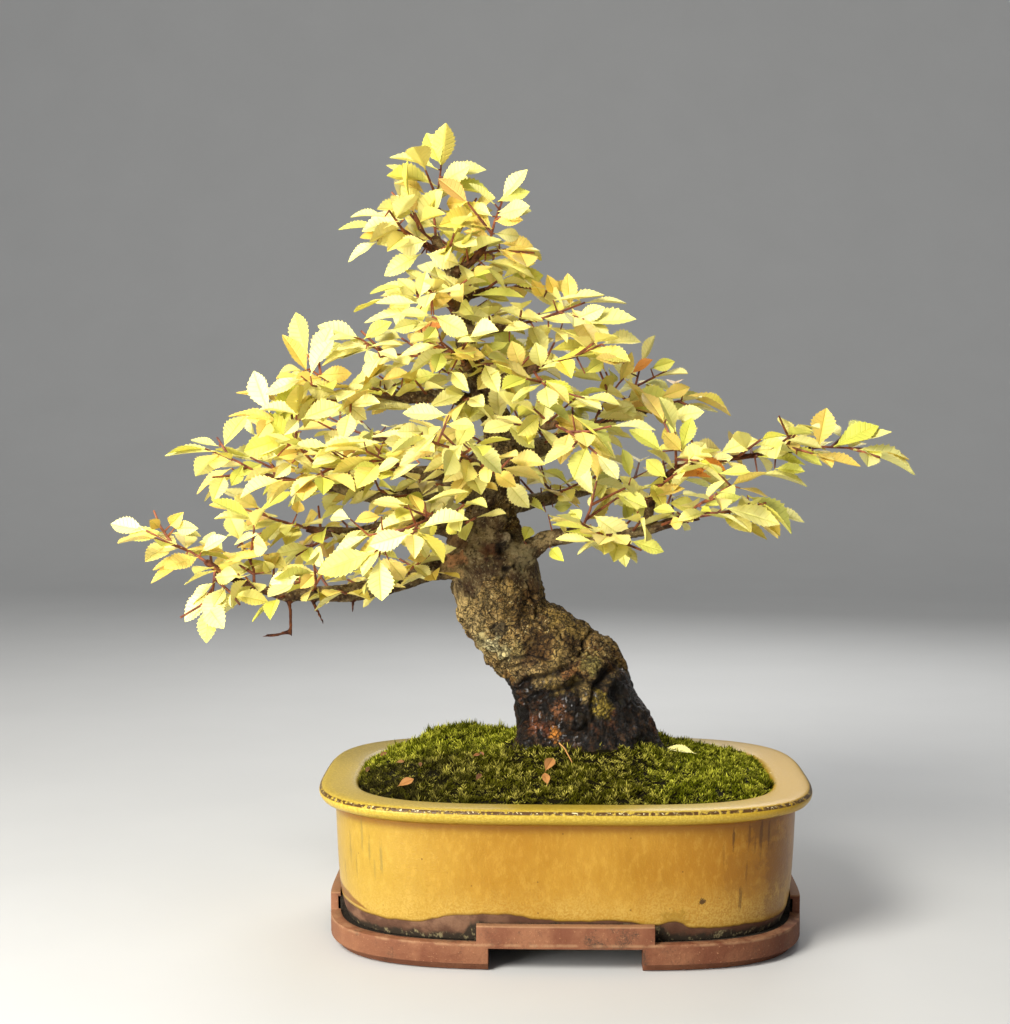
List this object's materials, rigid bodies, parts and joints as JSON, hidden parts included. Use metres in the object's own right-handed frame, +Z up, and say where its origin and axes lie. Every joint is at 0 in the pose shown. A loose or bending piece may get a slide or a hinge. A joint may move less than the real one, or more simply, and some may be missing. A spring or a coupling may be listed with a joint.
{
  "type": "zelkova bonsai in a glazed oval pot",
  "caption": "Informal zelkova bonsai in yellow autumn leaf, its leaning trunk rising from mossy soil in an oval glazed pot on cut-out feet.",
  "frame": {"origin": "the middle of the whole object's box, on the surface that the pot's feet stand on; the pot's own centre lies at x 0.0214, y -0.0100", "axes": "+Z up, +X to the right along the pot's length, with the pot's front facing -Y"},
  "size_m": [0.3237, 0.1723, 0.3292],
  "materials": {
    "glazed_clay": "gloss",
    "plastic_mesh": "matte",
    "soil": "matte",
    "moss": "matte",
    "bark": "matte",
    "leaf": "satin",
    "dry_leaf": "matte"
  },
  "bodies": {
    "root": {"pot": "glazed_clay", "drain_mesh_left": "plastic_mesh", "drain_mesh_right": "plastic_mesh", "soil": "soil", "moss": "moss", "trunk_and_branches": "bark", "tip_leader": "leaf", "tip_low_left": "leaf", "tip_inner_left": "leaf", "tip_middle_left": "leaf", "tip_upper_left": "leaf", "tip_top_left": "leaf", "tip_crown_left": "leaf", "tip_apex_left": "leaf", "tip_apex_right": "leaf", "tip_low_right": "leaf", "tip_long_right": "leaf", "tip_back_right": "leaf", "tip_back_right_side": "leaf", "tip_upper_right": "leaf", "tip_crown_right": "leaf", "tip_crown_back": "leaf", "tip_front_low": "leaf", "tip_front_middle": "leaf", "tip_front_right": "leaf", "tip_front_top": "leaf", "tip_front_crown": "leaf", "tip_back_low": "leaf", "tip_back_left": "leaf", "tip_back_low_right": "leaf", "tip_back_upper": "leaf", "tip_back_crown": "leaf", "under_low_left": "leaf", "over_low_left": "leaf", "front_low_left": "leaf", "near_low_left": "leaf", "mid_inner_left": "leaf", "side_middle_left": "leaf", "near_middle_left": "leaf", "side_upper_left": "leaf", "near_upper_left": "leaf", "side_top_left": "leaf", "under_apex": "leaf", "far_apex": "leaf", "side_apex_right": "leaf", "side_low_right": "leaf", "front_low_right": "leaf", "rise_low_right": "leaf", "side_long_right": "leaf", "rise_long_right": "leaf", "side_back_right": "leaf", "side_upper_right": "leaf", "fallen_leaf_yellow": "leaf", "fallen_leaf_brown_1": "dry_leaf", "fallen_leaf_brown_2": "dry_leaf", "fallen_leaf_brown_3": "dry_leaf"}
  },
  "joints": []
}
